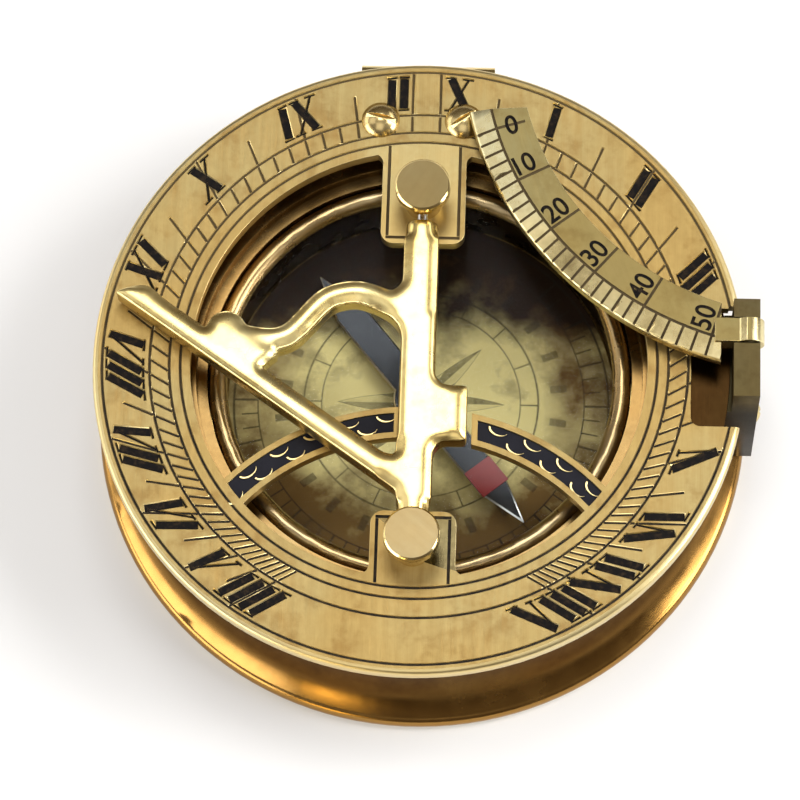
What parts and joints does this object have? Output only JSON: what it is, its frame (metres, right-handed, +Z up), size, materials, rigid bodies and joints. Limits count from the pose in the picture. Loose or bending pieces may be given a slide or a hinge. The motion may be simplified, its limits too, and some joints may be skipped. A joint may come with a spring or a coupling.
{
  "type": "sundial compass",
  "caption": "Round brass sundial compass: flared case, glazed compass, hinged hour ring with a folding gnomon, and a folding latitude arc.",
  "frame": {"origin": "centre of the flat underside, on the axis of the round case", "axes": "+Z up through the compass, +Y towards the noon hinge of the hour ring, +X towards the latitude arc's bracket"},
  "size_m": [0.1039, 0.1022, 0.0335],
  "materials": {
    "case_brass": "polished, darker with age",
    "brass": "polished",
    "ring_brass": "straight brushed, engraved and filled black",
    "arc_brass": "straight brushed, engraved and filled black",
    "cast_brass": "cast and polished, round edges",
    "steel": "turned",
    "needle_steel": "satin",
    "red_paint": "gloss",
    "black_enamel": "gloss enamel",
    "card": "printed card",
    "glass": "clear"
  },
  "bodies": {
    "base": {"case_body": "case_brass", "compass_card": "card", "pivot_pin": "steel", "glass": "glass", "glass_ring": "brass", "hinge_block": "case_brass", "block_screws": "brass", "hinge_pin": "steel", "arc_bracket": "brass", "bracket_screws": "brass", "arc_pin": "steel"},
    "ring": {"hour_ring": "ring_brass", "bridge_enamel": "black_enamel", "hinge_leaf": "brass", "ring_screws": "brass", "north_post": "brass", "south_post": "brass"},
    "gnomon": {"gnomon": "cast_brass", "gnomon_pivots": "steel"},
    "arc": {"latitude_arc": "arc_brass"},
    "needle": {"needle_blade": "needle_steel", "needle_marker": "red_paint", "needle_cap": "brass"}
  },
  "joints": [
    {"name": "ring_tilt", "type": "hinge", "parent": "base", "child": "ring", "pos_m": [0, 0.0493, 0.022], "axis": [-1, 0, 0], "range_deg": [0, 20]},
    {"name": "arc_swing", "type": "hinge", "parent": "base", "child": "arc", "pos_m": [0.0503, 0.0043, 0.0292], "axis": [0, 1, 0], "range_deg": [0, 90]},
    {"name": "gnomon_fold", "type": "hinge", "parent": "ring", "child": "gnomon", "pos_m": [0, 0, 0.0287], "axis": [0, 1, 0], "range_deg": [0, 90]},
    {"name": "needle_spin", "type": "hinge", "parent": "base", "child": "needle", "pos_m": [0, 0, 0.0098], "axis": [0, 0, 1], "continuous": true}
  ],
  "couplings": [
    {"joint": "arc_swing", "follows": "ring_tilt", "ratio": 4.5}
  ]
}
